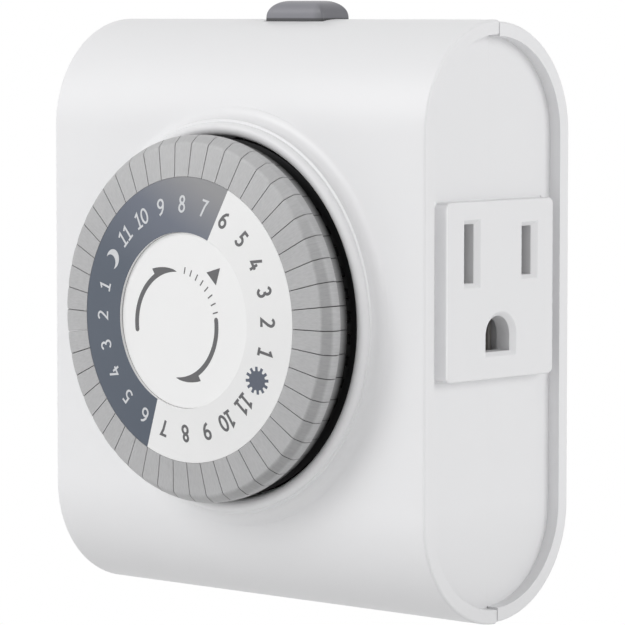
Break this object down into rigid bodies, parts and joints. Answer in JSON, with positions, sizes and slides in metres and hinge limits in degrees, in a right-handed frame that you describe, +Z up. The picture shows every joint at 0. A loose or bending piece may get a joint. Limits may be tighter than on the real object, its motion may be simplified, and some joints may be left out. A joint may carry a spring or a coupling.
{
  "type": "plug in timer switch",
  "caption": "Plug-in mechanical day timer with a turning dial ringed by push-in half-hour tabs, a grounded outlet on each side and an override button on top.",
  "frame": {"origin": "centre of the flat rear face, in the plane that rests against the wall plate, on the dial's axis", "axes": "+X towards the right outlet seen from the front, +Y into the wall along the blades (the dial faces -Y), +Z up"},
  "size_m": [0.0748, 0.063, 0.089],
  "materials": {
    "shell": "white moulded plastic, satin",
    "outlet": "white moulded plastic, satin",
    "dial_body": "black moulded plastic",
    "tab": "grey moulded plastic",
    "label": "printed, half dark grey and half white",
    "cap": "white with grey print",
    "button": "grey moulded plastic",
    "nylon": "natural nylon",
    "phenolic": "brown laminate",
    "brass": "stamped brass",
    "steel": "zinc plated",
    "spring_steel": "spring steel",
    "motor_can": "drawn steel can",
    "lead_insulation": "soft insulation"
  },
  "bodies": {
    "housing": {"front_housing": "shell", "rear_housing": "shell", "outlet_block_right": "outlet", "outlet_block_left": "outlet", "center_cap": "cap", "dial_axle": "steel", "retaining_clip": "spring_steel", "movement_plate": "phenolic", "timer_motor": "motor_can", "reduction_axle": "steel", "movement_screws": "steel", "motor_leads": "lead_insulation", "lever_pin": "steel", "fixed_contact": "brass", "contact_base": "phenolic", "button_spring": "spring_steel", "override_terminals": "brass", "line_blade": "brass", "neutral_blade": "brass", "ground_pin": "brass", "line_bar": "brass", "load_bar": "brass", "neutral_bar": "brass", "ground_bar": "brass", "housing_screws": "steel"},
    "dial": {"dial_carrier": "dial_body", "dial_gear": "nylon", "clutch_washer": "spring_steel", "dial_label": "label"},
    "reduction_gear": {"reduction_gear": "nylon"},
    "motor_pinion": {"motor_pinion": "brass"},
    "switch_lever": {"switch_lever": "nylon"},
    "moving_contact": {"moving_contact": "brass"},
    "override_button": {"override_button": "button", "bridge_contact": "brass"},
    "tab_pair_01": {"tab_pair_01": "tab"},
    "tab_pair_02": {"tab_pair_02": "tab"},
    "tab_pair_03": {"tab_pair_03": "tab"},
    "tab_pair_04": {"tab_pair_04": "tab"},
    "tab_pair_05": {"tab_pair_05": "tab"},
    "tab_pair_06": {"tab_pair_06": "tab"},
    "tab_pair_07": {"tab_pair_07": "tab"},
    "tab_pair_08": {"tab_pair_08": "tab"},
    "tab_pair_09": {"tab_pair_09": "tab"},
    "tab_pair_10": {"tab_pair_10": "tab"},
    "tab_pair_11": {"tab_pair_11": "tab"},
    "tab_pair_12": {"tab_pair_12": "tab"},
    "tab_pair_13": {"tab_pair_13": "tab"},
    "tab_pair_14": {"tab_pair_14": "tab"},
    "tab_pair_15": {"tab_pair_15": "tab"},
    "tab_pair_16": {"tab_pair_16": "tab"},
    "tab_pair_17": {"tab_pair_17": "tab"},
    "tab_pair_18": {"tab_pair_18": "tab"},
    "tab_pair_19": {"tab_pair_19": "tab"},
    "tab_pair_20": {"tab_pair_20": "tab"},
    "tab_pair_21": {"tab_pair_21": "tab"},
    "tab_pair_22": {"tab_pair_22": "tab"},
    "tab_pair_23": {"tab_pair_23": "tab"},
    "tab_pair_24": {"tab_pair_24": "tab"}
  },
  "joints": [
    {"name": "dial_spin", "type": "hinge", "parent": "housing", "child": "dial", "pos_m": [0, -0.0414, 0], "axis": [0, 1, 0], "continuous": true},
    {"name": "reduction_gear_spin", "type": "hinge", "parent": "housing", "child": "reduction_gear", "pos_m": [0.00489, -0.026, -0.01826], "axis": [0, 1, 0], "continuous": true},
    {"name": "motor_pinion_spin", "type": "hinge", "parent": "housing", "child": "motor_pinion", "pos_m": [0, -0.024, -0.03084], "axis": [0, 1, 0], "continuous": true},
    {"name": "switch_lever_swing", "type": "hinge", "parent": "housing", "child": "switch_lever", "pos_m": [0, -0.0256, 0.032], "axis": [1, 0, 0], "range_deg": [0, 8], "stiffness_Nm_per_rad": 0.015, "springref_deg": -5.73},
    {"name": "moving_contact_swing", "type": "hinge", "parent": "housing", "child": "moving_contact", "pos_m": [0, -0.0243, 0.019], "axis": [-1, 0, 0], "range_deg": [0, 9.7]},
    {"name": "override_press", "type": "slide", "parent": "housing", "child": "override_button", "axis": [0, 0, -1], "range_m": [0, 0.0018], "stiffness_N_per_m": 400, "springref_m": -0.002, "deforming": ["button_spring"]},
    {"name": "tab_pair_01_push", "type": "slide", "parent": "dial", "child": "tab_pair_01", "axis": [0, 1, 0], "range_m": [0, 0.002]},
    {"name": "tab_pair_02_push", "type": "slide", "parent": "dial", "child": "tab_pair_02", "axis": [0, 1, 0], "range_m": [0, 0.002]},
    {"name": "tab_pair_03_push", "type": "slide", "parent": "dial", "child": "tab_pair_03", "axis": [0, 1, 0], "range_m": [0, 0.002]},
    {"name": "tab_pair_04_push", "type": "slide", "parent": "dial", "child": "tab_pair_04", "axis": [0, 1, 0], "range_m": [0, 0.002]},
    {"name": "tab_pair_05_push", "type": "slide", "parent": "dial", "child": "tab_pair_05", "axis": [0, 1, 0], "range_m": [0, 0.002]},
    {"name": "tab_pair_06_push", "type": "slide", "parent": "dial", "child": "tab_pair_06", "axis": [0, 1, 0], "range_m": [0, 0.002]},
    {"name": "tab_pair_07_push", "type": "slide", "parent": "dial", "child": "tab_pair_07", "axis": [0, 1, 0], "range_m": [0, 0.002]},
    {"name": "tab_pair_08_push", "type": "slide", "parent": "dial", "child": "tab_pair_08", "axis": [0, 1, 0], "range_m": [0, 0.002]},
    {"name": "tab_pair_09_push", "type": "slide", "parent": "dial", "child": "tab_pair_09", "axis": [0, 1, 0], "range_m": [0, 0.002]},
    {"name": "tab_pair_10_push", "type": "slide", "parent": "dial", "child": "tab_pair_10", "axis": [0, 1, 0], "range_m": [0, 0.002]},
    {"name": "tab_pair_11_push", "type": "slide", "parent": "dial", "child": "tab_pair_11", "axis": [0, 1, 0], "range_m": [0, 0.002]},
    {"name": "tab_pair_12_push", "type": "slide", "parent": "dial", "child": "tab_pair_12", "axis": [0, 1, 0], "range_m": [0, 0.002]},
    {"name": "tab_pair_13_push", "type": "slide", "parent": "dial", "child": "tab_pair_13", "axis": [0, 1, 0], "range_m": [0, 0.002]},
    {"name": "tab_pair_14_push", "type": "slide", "parent": "dial", "child": "tab_pair_14", "axis": [0, 1, 0], "range_m": [0, 0.002]},
    {"name": "tab_pair_15_push", "type": "slide", "parent": "dial", "child": "tab_pair_15", "axis": [0, 1, 0], "range_m": [0, 0.002]},
    {"name": "tab_pair_16_push", "type": "slide", "parent": "dial", "child": "tab_pair_16", "axis": [0, 1, 0], "range_m": [0, 0.002]},
    {"name": "tab_pair_17_push", "type": "slide", "parent": "dial", "child": "tab_pair_17", "axis": [0, 1, 0], "range_m": [0, 0.002]},
    {"name": "tab_pair_18_push", "type": "slide", "parent": "dial", "child": "tab_pair_18", "axis": [0, 1, 0], "range_m": [0, 0.002]},
    {"name": "tab_pair_19_push", "type": "slide", "parent": "dial", "child": "tab_pair_19", "axis": [0, 1, 0], "range_m": [0, 0.002]},
    {"name": "tab_pair_20_push", "type": "slide", "parent": "dial", "child": "tab_pair_20", "axis": [0, 1, 0], "range_m": [0, 0.002]},
    {"name": "tab_pair_21_push", "type": "slide", "parent": "dial", "child": "tab_pair_21", "axis": [0, 1, 0], "range_m": [0, 0.002]},
    {"name": "tab_pair_22_push", "type": "slide", "parent": "dial", "child": "tab_pair_22", "axis": [0, 1, 0], "range_m": [0, 0.002]},
    {"name": "tab_pair_23_push", "type": "slide", "parent": "dial", "child": "tab_pair_23", "axis": [0, 1, 0], "range_m": [0, 0.002]},
    {"name": "tab_pair_24_push", "type": "slide", "parent": "dial", "child": "tab_pair_24", "axis": [0, 1, 0], "range_m": [0, 0.002]}
  ],
  "couplings": [
    {"joint": "reduction_gear_spin", "follows": "dial_spin", "ratio": -6},
    {"joint": "motor_pinion_spin", "follows": "dial_spin", "ratio": 24},
    {"joint": "moving_contact_swing", "follows": "switch_lever_swing", "ratio": 1.2}
  ]
}
